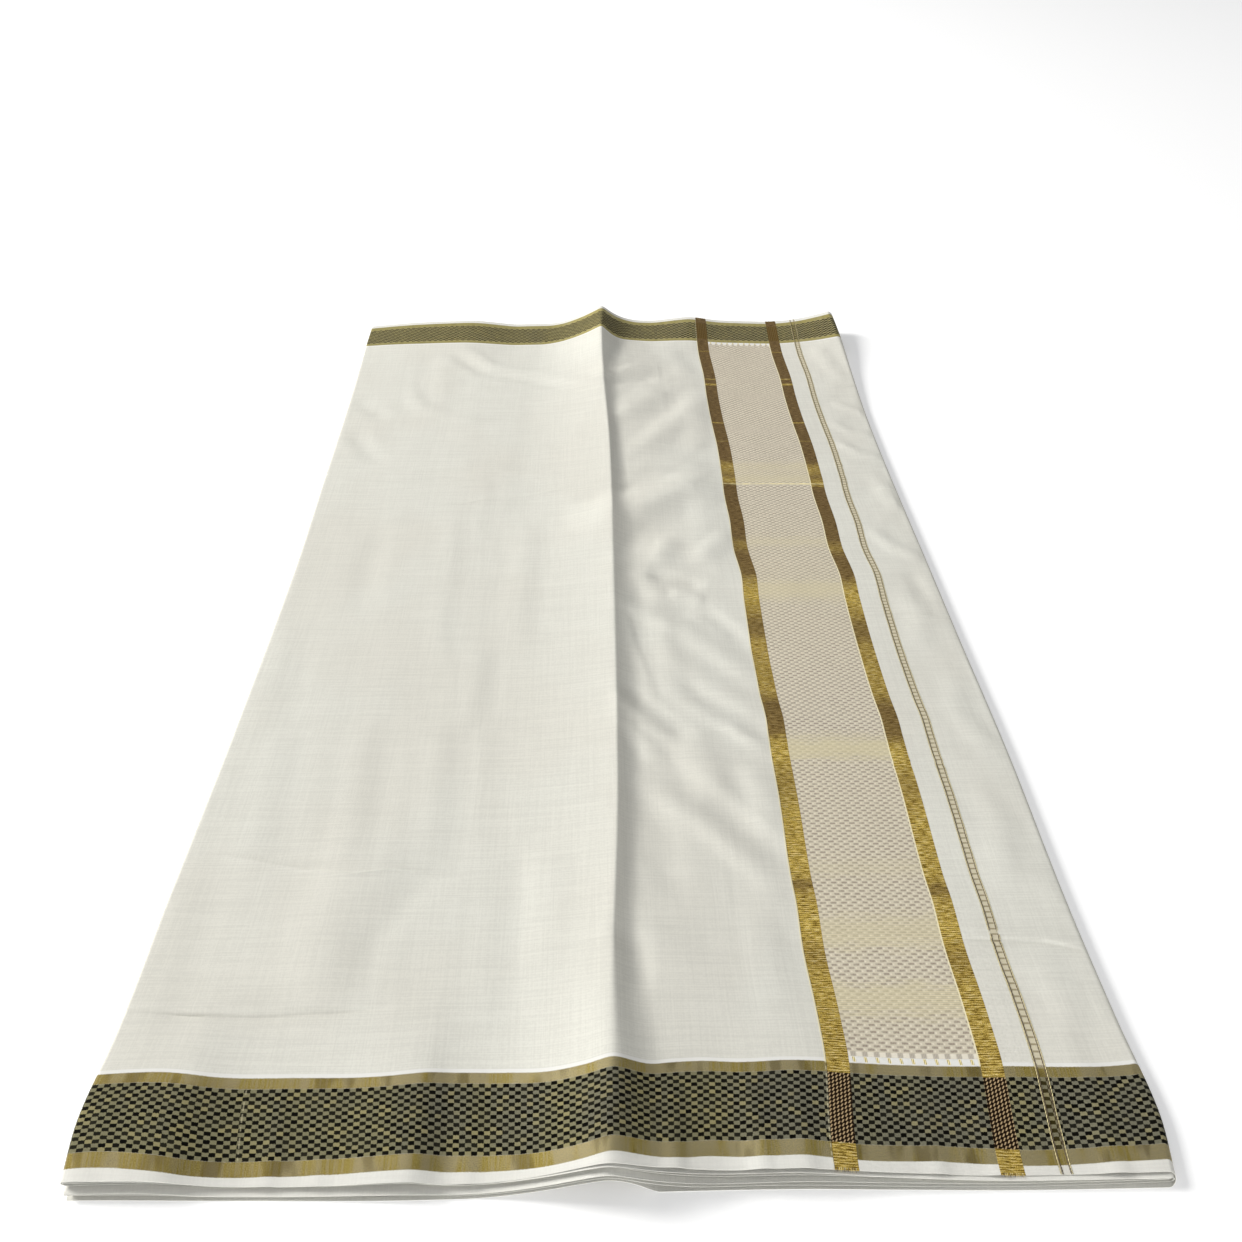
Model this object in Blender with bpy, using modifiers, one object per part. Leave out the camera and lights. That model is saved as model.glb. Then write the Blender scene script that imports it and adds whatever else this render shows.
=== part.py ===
# A saree folded into eight leaves and laid flat.
# X runs along the cloth's length, Y across it from selvedge to selvedge, and Z is up.
# The origin is on the floor, under the middle of the stack. Sizes are in metres.

import bpy
import bmesh
from collections import namedtuple
from math import cos, pi, radians, sin, sqrt

# Driving sizes
CLOTH_WIDTH = 1.200      # selvedge to selvedge
FOLDED_HALF = 0.345      # half of a leaf, fold to fold
STACK = 0.0090           # the eight leaves, pressed
WALL = 0.0010            # one leaf as modelled
GAP = 0.0003             # between pieces
SLIP = 0.0060            # how far the bottom leaf lies nearer than the top one
BAND_AT = 0.1347         # where the first gold band starts, along X
LADDER_AT = 0.2748       # where the ladder line starts, along X
TUCK = 0.0030            # how far the left fold's wall goes back under itself
LOWER_IN = 0.0020        # the lower group of leaves stops short of the upper one by this
RIDGE_POWER = 1.8        # how hollow the flanks of the centre ridge are
CREASE_REACH = 0.016     # half the width of a cross crease
CREASE_END = 0.030       # over which a cross crease dies away at its ends
LEFT_REACH = 0.195       # how far in from the left fold its outline moves the leaves
NOSE_STEPS = 6           # facets round the left fold
RIGHT_STEPS = 8          # facets round the big right fold
INSET = WALL + GAP       # the layers between lie this deep inside the outer leaf
SLOPE_STEP = 0.004       # over which the slope of a leaf is read
MERGE = 0.00001          # points this near each other are one
SHARP = radians(35)      # edges past this angle are shaded sharp

# The stack's outline at each place along Y
Side = namedtuple("Side", "at left right")
SIDES = [
    Side(-0.600, -0.3440, 0.3420),
    Side(-0.560, -0.3480, 0.3480),
    Side(-0.500, -0.3435, 0.3450),
    Side(-0.400, -0.3415, 0.3430),
    Side(-0.250, -0.3370, 0.3445),
    Side(-0.100, -0.3340, 0.3420),
    Side(0.020, -0.3330, 0.3405),
    Side(0.180, -0.3355, 0.3380),
    Side(0.300, -0.3370, 0.3375),
    Side(0.420, -0.3395, 0.3390),
    Side(0.520, -0.3430, 0.3395),
    Side(0.600, -0.3450, 0.3370),
]

# How far each selvedge leaves its straight line, and how far the cloth is drawn sideways at the
# near one, at each place along X
End = namedtuple("End", "at near far draw")
ENDS = [
    End(-0.350, 0.0025, -0.0060, 0.0000),
    End(-0.310, 0.0020, -0.0010, 0.0040),
    End(-0.240, 0.0005, 0.0010, 0.0065),
    End(-0.130, -0.0010, -0.0015, 0.0045),
    End(-0.010, 0.0010, 0.0000, 0.0000),
    End(0.100, 0.0015, 0.0010, -0.0060),
    End(0.170, 0.0000, 0.0015, -0.0070),
    End(0.240, -0.0015, -0.0010, -0.0070),
    End(0.350, -0.0015, 0.0010, 0.0000),
]
DRAW_REACH = 0.080       # how far the sideways draw runs in from the near selvedge

# The centre ridge that lifts every leaf, at each place along Y
Ridge = namedtuple("Ridge", "at height left right place")
RIDGE = [
    Ridge(-0.600, 0.0200, 0.078, 0.070, -0.0120),
    Ridge(-0.530, 0.0195, 0.078, 0.064, -0.0080),
    Ridge(-0.450, 0.0150, 0.090, 0.036, -0.0065),
    Ridge(-0.300, 0.0125, 0.105, 0.026, -0.0010),
    Ridge(0.000, 0.0120, 0.110, 0.024, -0.0010),
    Ridge(0.250, 0.0140, 0.110, 0.026, -0.0010),
    Ridge(0.420, 0.0210, 0.100, 0.036, -0.0055),
    Ridge(0.530, 0.0285, 0.090, 0.066, -0.0070),
    Ridge(0.600, 0.0270, 0.078, 0.066, -0.0060),
]

# How far the top leaf stands above or below the pressed stack at the two borders, along X
Wave = namedtuple("Wave", "at near far")
WAVES = [
    Wave(-0.350, 0.0030, -0.0020),
    Wave(-0.320, 0.0045, -0.0010),
    Wave(-0.290, 0.0030, 0.0010),
    Wave(-0.245, -0.0035, 0.0030),
    Wave(-0.190, -0.0025, 0.0050),
    Wave(-0.136, 0.0030, 0.0005),
    Wave(-0.095, -0.0025, 0.0010),
    Wave(-0.045, -0.0010, 0.0015),
    Wave(0.030, 0.0045, 0.0020),
    Wave(0.065, 0.0045, 0.0030),
    Wave(0.100, 0.0070, 0.0060),
    Wave(0.125, 0.0060, 0.0095),
    Wave(0.170, 0.0015, 0.0045),
    Wave(0.225, -0.0015, 0.0035),
    Wave(0.275, -0.0015, 0.0040),
    Wave(0.350, 0.0000, 0.0060),
]
WAVE_REACH = 0.150       # how far the waves run in from a border

# Pressed cross creases in the top leaf, where the folded stack was once folded again
Crease = namedtuple("Crease", "y start end height")
CREASES = [
    Crease(0.188, -0.345, 0.345, 0.0014),
    Crease(-0.004, -0.330, 0.345, 0.0010),
    Crease(-0.232, -0.345, 0.300, 0.0014),
]

# The far right corner, where every leaf curls up off the floor
CORNER_LIFT = 0.0150
CORNER_ALONG = 0.115
CORNER_DEEP = 0.240

# The edges of the layers between, from the top down. Level is a share of the height between the
# outer leaves, near and far say how far the layers stand out of their straight line.
Edge = namedtuple("Edge", "level near far")
EDGES = [
    Edge(1.00, -0.0012, -0.0012),
    Edge(0.88, 0.0000, 0.0000),
    Edge(0.72, 0.0002, 0.0002),
    Edge(0.66, -0.0018, -0.0018),
    Edge(0.60, 0.0004, 0.0003),
    Edge(0.40, 0.0008, 0.0003),
    Edge(0.34, -0.0016, -0.0018),
    Edge(0.27, 0.0010, 0.0002),
    Edge(0.10, 0.0010, 0.0002),
    Edge(0.00, -0.0004, -0.0012),
]

CLOTH_WHITE = (0.80, 0.79, 0.74)
PALLU_CREAM = (0.74, 0.68, 0.52)
UNDER_WHITE = (0.72, 0.71, 0.67)


def read(rows, column, at):
    """A column's value at a place, on a smooth curve through the rows."""
    at = min(max(at, rows[0].at), rows[-1].at)
    i = next(n for n in range(1, len(rows)) if at <= rows[n].at)
    a, b = rows[i - 1], rows[i]
    span = b.at - a.at
    t = (at - a.at) / span
    start, end = getattr(a, column), getattr(b, column)
    slopes = []
    for n in (i - 1, i):
        before, after = rows[max(n - 1, 0)], rows[min(n + 1, len(rows) - 1)]
        slopes.append((getattr(after, column) - getattr(before, column)) / (after.at - before.at))
    return (
        start * (1 + 2 * t) * (1 - t) ** 2
        + end * t * t * (3 - 2 * t)
        + span * slopes[0] * t * (1 - t) ** 2
        - span * slopes[1] * t * t * (1 - t)
    )


def fade(distance, reach):
    """1 at no distance and 0 from reach on, with no corner at either end."""
    t = min(max(distance / reach, 0), 1)
    return 1 - t * t * (3 - 2 * t)


def lift(x, y):
    """How far the whole stack is off the floor: the centre ridge and the far right corner."""
    away = x - read(RIDGE, "place", y)
    reach = read(RIDGE, "right" if away > 0 else "left", y)
    flank = max(0, 1 - abs(away) / reach) ** RIDGE_POWER
    along = max(0, 1 - (FOLDED_HALF - x) / CORNER_ALONG)
    deep = max(0, 1 - (CLOTH_WIDTH / 2 - y) / CORNER_DEEP)
    corner = CORNER_LIFT * min(along, 1) ** 2 * min(deep, 1) ** 1.3
    return read(RIDGE, "height", y) * flank + corner


def crease_height(x, y):
    """The pressed cross creases in the top leaf."""
    height = 0
    for crease in CREASES:
        inside = fade(crease.start - x, CREASE_END) * fade(x - crease.end, CREASE_END)
        height += crease.height * inside * max(0, 1 - abs(y - crease.y) / CREASE_REACH)
    return height


def thickness(x, y):
    """From the bottom of the stack to its top leaf."""
    near = read(WAVES, "near", x) * fade(y + CLOTH_WIDTH / 2, WAVE_REACH)
    far = read(WAVES, "far", x) * fade(CLOTH_WIDTH / 2 - y, WAVE_REACH)
    return STACK + near + far + crease_height(x, y)


def place_y(x, v, level):
    """The Y of a point v from the cloth's middle thread, on a leaf at a level of the stack."""
    near = read(ENDS, "near", x) * fade(v + CLOTH_WIDTH / 2, WAVE_REACH)
    far = read(ENDS, "far", x) * fade(CLOTH_WIDTH / 2 - v, WAVE_REACH)
    return v + near + far + SLIP * (level - 0.5)


def place_x(x, v):
    """X inside the stack, moved so that its sides follow the outline."""
    side = "left" if x < 0 else "right"
    edge = FOLDED_HALF if x > 0 else -FOLDED_HALF
    reach = FOLDED_HALF - LADDER_AT if x > 0 else LEFT_REACH
    draw = read(ENDS, "draw", x) * fade(v + CLOTH_WIDTH / 2, DRAW_REACH)
    return x + draw + (read(SIDES, side, v) - edge) * fade(abs(edge - x), reach)


def height(x, y, level):
    """The height of a leaf's outer face. Level is 0 for the bottom leaf and 1 for the top one."""
    return lift(x, y) + level * thickness(x, y)


def leaf_point(x, v, level, inset=0):
    """A point of the stack, set in by inset, measured square to the leaf."""
    px = place_x(x, v)
    py = place_y(px, v, level)
    here = height(px, py, level)
    steps = [height(px + d, py, level) - here for d in (-SLOPE_STEP, SLOPE_STEP)]
    steepness = max(abs(step) for step in steps) / SLOPE_STEP
    return px, py, here + (1 - 2 * level) * inset * sqrt(1 + steepness ** 2)


def spaced(start, end, step, extra=()):
    """Stations about step apart, where the extra ones take the place of any too near them."""
    count = max(1, round((end - start) / step))
    plain = [start + (end - start) * i / count for i in range(count + 1)]
    extra = [e for e in extra if start < e < end]
    kept = [p for p in plain if p in (start, end) or all(abs(p - e) > step * 0.4 for e in extra)]
    return sorted(set(kept + extra))


def fold_offsets(radius, steps):
    """Outward and upward offsets round a fold, from its top to its bottom."""
    turns = [pi * i / steps for i in range(steps + 1)]
    return [(radius * sin(a), radius * cos(a)) for a in turns]


# Where the sections are taken: close together over the ridge, the creases and the borders
ROW_STEP = 0.075
COLUMN_STEP = 0.028
FOLD_ROOM = 0.012        # kept for the folds at each end of a row
RIDGE_LINES = [-0.105, -0.072, -0.045, -0.024, -0.010, -0.0010, 0.008, 0.018, 0.034, 0.058]
CREASE_LINES = [c.y + d for c in CREASES for d in (-CREASE_REACH, 0, CREASE_REACH)]
BORDER_LINES = [-0.570, -0.530, 0.530, 0.570]
FLOOR_PLAIN = [(-0.345, -0.120), (0.080, 0.220)]    # where the bottom leaf needs half the sections

ROWS = spaced(-CLOTH_WIDTH / 2, CLOTH_WIDTH / 2, ROW_STEP, CREASE_LINES + BORDER_LINES)
TOP = spaced(
    FOLD_ROOM - FOLDED_HALF, FOLDED_HALF - FOLD_ROOM, COLUMN_STEP, RIDGE_LINES + [BAND_AT, LADDER_AT]
)
FLOOR = [x for i, x in enumerate(TOP) if i % 2 == 0 or not any(a < x < b for a, b in FLOOR_PLAIN)]


def grid(columns, rows, place):
    """An open surface with a point for each column and row, put there by place."""
    surface = bmesh.new()
    across, along = len(columns) - 1, len(rows) - 1
    bmesh.ops.create_grid(surface, x_segments=across, y_segments=along, size=1)
    for point in surface.verts:
        i = round((point.co.x + 1) / 2 * across)
        j = round((point.co.y + 1) / 2 * along)
        point.co = place(columns[i], rows[j])
    bmesh.ops.triangulate(surface, faces=surface.faces, quad_method="FIXED")
    return surface


def finish(name, surface, colour, parts):
    """Make a named object with its own material from a bmesh."""
    mesh = bpy.data.meshes.new(name)
    surface.to_mesh(mesh)
    surface.free()
    piece = bpy.data.objects.new(name, mesh)
    parts.objects.link(piece)
    cloth = bpy.data.materials.new(name)
    cloth.use_nodes = True
    shader = cloth.node_tree.nodes["Principled BSDF"]
    shader.inputs["Base Color"].default_value = (*colour, 1)
    shader.inputs["Roughness"].default_value = 0.85
    shader.inputs["Metallic"].default_value = 0.0
    mesh.materials.append(cloth)
    mesh.shade_smooth()
    mesh.set_sharp_from_angle(angle=SHARP)
    return piece


def leaf(name, columns, place, colour, parts):
    """One leaf of cloth: an open surface, thickened inwards."""
    piece = finish(name, grid(columns, ROWS, place), colour, parts)
    wall = piece.modifiers.new("Wall", "SOLIDIFY")
    wall.thickness = WALL
    wall.offset = -1
    wall.use_even_offset = True
    piece.modifiers.new("Even shading", "WEIGHTED_NORMAL")
    return piece


def left_fold(v):
    """The left fold of the upper group: its middle along X, its top and its radius."""
    edge = read(SIDES, "left", v)
    radius = thickness(edge, v) / 4 - GAP / 4
    return edge + radius, radius


def right_fold(v):
    """The big right fold: its middle along X and its radius."""
    edge = read(SIDES, "right", v)
    radius = thickness(edge, v) / 2
    return edge - radius, radius


def make_body(parts):
    """Top leaf, from under the left fold to the first gold band."""
    tuck = [("tuck", 1), ("tuck", 0)]
    nose = [("nose", n) for n in range(NOSE_STEPS - 1, -1, -1)]
    flat = [("flat", x) for x in TOP if x < BAND_AT] + [("flat", BAND_AT - GAP / 2)]

    def place(column, v):
        kind, at = column
        if kind == "flat":
            return leaf_point(at, v, 1)
        middle, radius = left_fold(v)
        if kind == "tuck":
            out, up, x = 0, -radius, middle + TUCK * at
        else:
            out, up = fold_offsets(radius, NOSE_STEPS)[at]
            x = middle - out
        y = place_y(x, v, 1)
        return x, y, height(middle, y, 1) - radius + up

    return leaf("body_stretch", tuck + nose + flat, place, CLOTH_WHITE, parts)


def make_pallu(parts):
    """Top leaf, from the first gold band to the ladder line."""
    inside = [x for x in TOP if BAND_AT < x < LADDER_AT]
    columns = [BAND_AT + GAP / 2] + inside + [LADDER_AT - GAP / 2]
    return leaf("pallu_stretch", columns, lambda x, v: leaf_point(x, v, 1), PALLU_CREAM, parts)


def make_wrap(parts):
    """From the ladder line round the right fold, and on as the bottom leaf to its free end."""
    flat = [("leaf", (x, 1)) for x in [LADDER_AT + GAP / 2] + [x for x in TOP if x > LADDER_AT]]
    nose = [("nose", n) for n in range(RIGHT_STEPS + 1)]
    under = [("leaf", (x, 0)) for x in FLOOR[::-1] + [-FOLDED_HALF + LOWER_IN]]

    def place(column, v):
        kind, at = column
        if kind == "leaf":
            x, level = at
            return leaf_point(x, v, level)
        middle, radius = right_fold(v)
        out, up = fold_offsets(radius, RIGHT_STEPS)[at]
        y = place_y(middle + out, v, 0.5 + up / radius / 2)
        return middle + out, y, lift(middle, y) + radius + up

    return leaf("wrapped_stretch", flat + nose + under, place, CLOTH_WHITE, parts)


def inner_left(ring, v):
    """X and Z of the layers' left edge: a tongue in the upper fold, a slot, and the lower fold."""
    middle, radius = left_fold(v)
    edge = read(SIDES, "left", v) + LOWER_IN
    y = place_y(middle, v, 0.5)
    floor = lift(middle, y)
    centre = floor + thickness(middle, y) - radius
    tip = radius * cos(pi / 2 / NOSE_STEPS) - INSET
    split = centre - radius - GAP
    lower = (split - floor - INSET) / 2
    shoulder = lower * sin(pi / 4)
    profile = [
        (middle, centre + radius - INSET),
        (middle - tip, centre),
        (middle, centre - radius + INSET),
        (middle + TUCK + GAP, centre - radius + INSET),
        (middle + TUCK + GAP, split),
        (edge + lower, split),
        (edge + lower - shoulder, floor + INSET + lower + shoulder),
        (edge, floor + INSET + lower),
        (edge + lower - shoulder, floor + INSET + lower - shoulder),
        (edge + lower, floor + INSET),
    ]
    return profile[ring]


def inner_right(ring, v):
    """X and Z of the layers' right edge, round inside the big fold."""
    middle, radius = right_fold(v)
    y = place_y(middle, v, 0.5)
    inside = radius * cos(pi / 2 / RIGHT_STEPS) - INSET
    turn = pi * ring / (len(EDGES) - 1)
    return middle + inside * sin(turn), lift(middle, y) + radius + (radius - INSET) * cos(turn)


def make_inner(parts):
    """The six leaves between: a top and a bottom surface, joined by rings that are layered."""
    last, end = len(TOP) + 1, len(ROWS) - 1

    def place(i, j, ring):
        edge, v = EDGES[ring], ROWS[j]
        if i in (0, last):
            x, z = inner_left(ring, v) if i == 0 else inner_right(ring, v)
            y = place_y(x, v, edge.level)
        else:
            x, y, bottom = leaf_point(TOP[i - 1], v, 0, INSET)
            top = leaf_point(TOP[i - 1], v, 1, INSET)[2]
            y += SLIP * edge.level
            z = bottom + edge.level * (top - bottom)
        if j == 0:
            y -= edge.near
        if j == end:
            y += edge.far
        return x, y, z

    solid = bmesh.new()
    across, along = solid.verts.layers.int.new("across"), solid.verts.layers.int.new("along")

    def add_grid(ring, split):
        made = bmesh.ops.create_grid(solid, x_segments=last, y_segments=end, size=1)["verts"]
        for point in made:
            point[across] = round((point.co.x + 1) / 2 * last)
            point[along] = round((point.co.y + 1) / 2 * end)
            point.co = place(point[across], point[along], ring)
        faces = list({face for point in made for face in point.link_faces})
        bmesh.ops.triangulate(solid, faces=faces, quad_method=split)

    add_grid(0, "FIXED")
    edges = [e for e in solid.edges if e.is_boundary]
    for ring in range(1, len(EDGES)):
        made = bmesh.ops.extrude_edge_only(solid, edges=edges)["geom"]
        edges = [g for g in made if isinstance(g, bmesh.types.BMEdge) and g.is_boundary]
        for point in {p for e in edges for p in e.verts}:
            point.co = place(point[across], point[along], ring)
    add_grid(len(EDGES) - 1, "ALTERNATE")
    bmesh.ops.remove_doubles(solid, verts=solid.verts, dist=MERGE)
    bmesh.ops.recalc_face_normals(solid, faces=solid.faces)
    finish("inner_layers", solid, UNDER_WHITE, parts)


for thing in list(bpy.data.objects):
    bpy.data.objects.remove(thing, do_unlink=True)

saree = bpy.data.collections.new("folded_saree")
bpy.context.scene.collection.children.link(saree)
make_body(saree)
make_pallu(saree)
make_wrap(saree)
make_inner(saree)
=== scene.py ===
# A saree folded into eight leaves and laid flat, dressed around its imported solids.
# X runs along the cloth's length, Y from selvedge to selvedge, Z up. Sizes are in metres,
# and the weave's patterns are in millimetres of cloth.

from math import pi, radians

import bmesh
import bpy
import numpy as np
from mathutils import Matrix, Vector, noise


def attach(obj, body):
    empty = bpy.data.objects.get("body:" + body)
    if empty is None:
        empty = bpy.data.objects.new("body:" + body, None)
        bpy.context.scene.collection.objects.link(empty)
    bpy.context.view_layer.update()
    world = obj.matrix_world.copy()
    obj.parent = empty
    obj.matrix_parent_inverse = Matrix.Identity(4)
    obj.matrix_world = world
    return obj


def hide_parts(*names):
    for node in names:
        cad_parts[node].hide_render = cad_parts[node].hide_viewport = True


mm = 0.001

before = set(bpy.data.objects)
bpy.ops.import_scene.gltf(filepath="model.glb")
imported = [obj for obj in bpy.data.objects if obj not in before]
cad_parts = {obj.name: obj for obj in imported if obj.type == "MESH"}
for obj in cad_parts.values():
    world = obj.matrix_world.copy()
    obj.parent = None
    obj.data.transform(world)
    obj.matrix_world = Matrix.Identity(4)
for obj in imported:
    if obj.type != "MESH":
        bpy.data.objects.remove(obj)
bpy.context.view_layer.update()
print("frame loaded:", sorted(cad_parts))


def addObject(name, data):
    made = bpy.data.objects.new(name, data)
    bpy.context.scene.collection.objects.link(made)
    return made


def addMesh(name, shape, looks):
    # a bmesh becomes an object with these materials
    data = bpy.data.meshes.new(name)
    shape.to_mesh(data)
    shape.free()
    for look in looks:
        data.materials.append(look)
    return addObject(name, data)


def setInputs(node, values):
    for name, value in values.items():
        node.inputs[name].default_value = value


# Camera, floor and light

view = {
    "place": (-0.01845, -0.8568, 0.6851),
    "turn": (49.24, -0.78, -1.26),
    "lens": 30.145,
    "sensor": 36.0,
}

camera = addObject("camera", bpy.data.cameras.new("camera"))
camera.location = view["place"]
camera.rotation_euler = [radians(turn) for turn in view["turn"]]
camera.data.lens = view["lens"]
camera.data.sensor_width = view["sensor"]
bpy.context.scene.camera = camera

studio = {
    "floorSize": 40.0,
    "floorColour": (0.96, 0.96, 0.958),
    "floorGlow": 0.23,
    "sky": (0.97, 0.98, 1.0),
    "skyStrength": 0.39,
    "lights": [
        # place, size, power, colour
        ((-5.76, 2.1, 3.4), 2.4, 625.0, (1.0, 0.99, 0.97)),
        ((0.3, -2.5, 0.32), 0.5, 26.0, (1.0, 1.0, 1.0)),
    ],
}

floorLook = bpy.data.materials.new("paleFloor")
floorLook.use_nodes = True
setInputs(floorLook.node_tree.nodes["Principled BSDF"], {
    "Base Color": (*studio["floorColour"], 1),
    "Roughness": 0.7,
    "Emission Color": (1, 1, 1, 1),
    "Emission Strength": studio["floorGlow"],
})
floorShape = bmesh.new()
bmesh.ops.create_grid(floorShape, x_segments=1, y_segments=1, size=studio["floorSize"] / 2)
floor = addMesh("floor", floorShape, [floorLook])

for number, (place, size, power, colour) in enumerate(studio["lights"]):
    lamp = bpy.data.lights.new(f"softLight{number}", "AREA")
    lamp.shape = "SQUARE"
    lamp.size = size
    lamp.energy = power
    lamp.color = colour
    holder = addObject(f"softLight{number}", lamp)
    holder.location = place
    holder.rotation_euler = (-Vector(place)).to_track_quat("-Z", "Y").to_euler()

world = bpy.data.worlds.new("studio")
bpy.context.scene.world = world
world.use_nodes = True
setInputs(world.node_tree.nodes["Background"], {
    "Color": (*studio["sky"], 1),
    "Strength": studio["skyStrength"],
})
bpy.context.scene.view_settings.view_transform = "Standard"
print("camera, floor and light set")

# How the folded cloth lies

fold = {
    "clothWidth": 1.2,
    "half": 0.345,        # half of a leaf, fold to fold
    "stack": 0.009,       # eight leaves, pressed
    "wall": 0.0004,       # one leaf of cloth
    "slip": 0.006,        # the bottom leaf lies this much nearer than the top one
    "bandAt": 0.1347,
    "ladderAt": 0.2748,
    "seam": 0.0003,
    "tuck": 0.003,
    "lowerIn": 0.002,
    "leftReach": 0.195,   # how far in from each edge its unevenness is felt
    "drawReach": 0.08,
    "waveReach": 0.15,
    "ridgeFlanks": (1.8, 2.3),  # how soon the left and right flank run out
    "loftReach": 0.15,    # the upper leaves stay looser this far to the ridge's right
    "cornerLift": 0.0185,
    "cornerAlong": 0.115,
    "cornerDeep": 0.24,
    "creaseScale": 1.25,
}
half = fold["half"]
clothHalf = fold["clothWidth"] / 2
halfSlip = fold["slip"] / 2
halfSeam = fold["seam"] / 2

sides = {  # where the stack's left and right edges lie, along Y
    "at": [-0.6, -0.56, -0.5, -0.4, -0.25, -0.1, 0.02, 0.18, 0.3, 0.42, 0.52, 0.6],
    "left": [-0.344, -0.348, -0.3435, -0.3415, -0.337, -0.334, -0.333, -0.3355, -0.337,
             -0.3395, -0.343, -0.345],
    "right": [0.342, 0.348, 0.345, 0.343, 0.3445, 0.342, 0.3405, 0.338, 0.3375, 0.339,
              0.3395, 0.337],
}
ends = {  # how far the near and far edges stray, and the near cloth is drawn to the right, along X
    "at": [-0.35, -0.31, -0.24, -0.13, -0.01, 0.1, 0.17, 0.24, 0.35],
    "near": [0.0025, 0.002, 0.0005, -0.001, 0.001, 0.0015, 0.0, -0.0015, -0.0015],
    "far": [-0.006, -0.001, 0.001, -0.0015, 0.0, 0.001, 0.0015, -0.001, 0.001],
    "draw": [0.0, 0.004, 0.0065, 0.0045, 0.0, -0.006, -0.007, -0.007, 0.0],
}
ridge = {  # the raised centre crease, along Y
    "at": [-0.6, -0.53, -0.45, -0.3, 0.0, 0.25, 0.42, 0.53, 0.6],
    "height": [0.019, 0.0188, 0.015, 0.0125, 0.012, 0.0135, 0.018, 0.0275, 0.027],
    "left": [0.078, 0.078, 0.09, 0.105, 0.11, 0.11, 0.1, 0.09, 0.078],
    "right": [0.06, 0.036, 0.018, 0.02, 0.03, 0.016, 0.021, 0.034, 0.052],
    "round": [0.01, 0.007, 0.0025, 0.0012, 0.0012, 0.0012, 0.0014, 0.0025, 0.004],
    "loft": [0.25, 0.3, 0.5, 0.3, 0.22, 0.45, 0.6, 0.38, 0.25],
    "place": [-0.012, -0.008, -0.0065, -0.0002, 0.0012, 0.0006, -0.0055, -0.007, -0.006],
}
waves = {  # what the stack gains in thickness at its near and far edges, along X
    "at": [-0.35, -0.32, -0.286, -0.266, -0.245, -0.19, -0.134, -0.114, -0.095, -0.045, 0.03,
           0.065, 0.1, 0.125, 0.17, 0.225, 0.275, 0.35],
    "near": [0.003, 0.0045, 0.0042, -0.0008, -0.0035, -0.0025, 0.0036, -0.0014, -0.0025, -0.0008, 0.005,
             0.0038, 0.0064, 0.0058, 0.0015, -0.0015, -0.0015, 0.0],
    "far": [-0.002, -0.001, 0.0012, 0.002, 0.003, 0.005, 0.0005, 0.0008, 0.001, 0.0015, 0.002,
            0.003, 0.0075, 0.0105, 0.0065, 0.0055, 0.006, 0.008],
}
# The woven lines wander a little: the near border's outer and inner edge away from the viewer,
# along X, and the end panel's bands to the right, along Y.
borderSway = {
    "at": [-0.345, -0.32, -0.3, -0.27, -0.215, -0.16, -0.12, -0.08, -0.05, -0.025, -0.008,
           0.015, 0.03, 0.052, 0.08, 0.11, 0.15, 0.2, 0.255, 0.31, 0.345],
    "outer": [0.0, 0.5, -1.0, -3.0, -2.0, -0.8, -0.3, -1.6, -3.0, -2.5, -0.3,
              -1.5, -1.8, 0.8, 0.0, 0.4, -1.4, -0.2, -2.4, -1.0, 0.0],
    "inner": [0.0, 1.0, 1.0, -1.2, -1.2, -1.7, 0.8, -0.2, -3.0, -3.0, -1.0,
              -1.5, 0.5, 2.0, 1.2, 2.4, 1.5, 0.2, 0.2, -1.5, 0.0],
    # each is full at the middle one of these, in millimetres in from the selvedge
    "outerDeep": (0, 7.5, 68),
    "innerDeep": (7.5, 68, 130),
}
bandSway = {
    "at": [-0.56, -0.525, -0.485, -0.445, -0.405, -0.38, -0.3, -0.243, -0.213, -0.18, -0.115,
           -0.042, 0.0, 0.045, 0.095, 0.145, 0.2, 0.255, 0.315, 0.375, 0.44, 0.51, 0.59],
    "right": [0.0, 0.5, 0.0, -1.5, -0.5, -1.2, 0.4, 0.3, 1.2, -0.4, -1.0,
              0.2, 1.8, -1.8, -0.4, -1.8, -0.2, 0.2, -1.8, -2.6, -1.5, -4.0, -2.0],
    "along": (0.03, 0.11, 0.285, 0.335),  # none before the first, full from the second to the third
}

# How far each hidden leaf stands out toward the viewer from under the top one, in millimetres.
# Leaf 0 is at the bottom and leaf 7 at the top.
leafOut = {
    "at": [-0.345, -0.2, -0.08, 0.0, 0.08, 0.2, 0.345],
    6: [-0.5, -0.5, 0.5, 1.5, 1.5, 2.5, 3.0],
    5: [-0.5, -1.5, -0.5, 0.0, -0.5, 0.5, 2.0],
    4: [0.0, -2.0, -1.0, 0.5, 1.0, 1.0, 2.5],
    3: [4.5, 4.5, 4.5, 5.0, 4.5, 3.5, 2.5],
    2: [4.5, 4.0, 3.5, 4.0, 3.0, 2.5, 2.0],
    1: [3.5, 3.0, 4.5, 5.0, 4.5, 4.5, 3.0],
}

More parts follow.
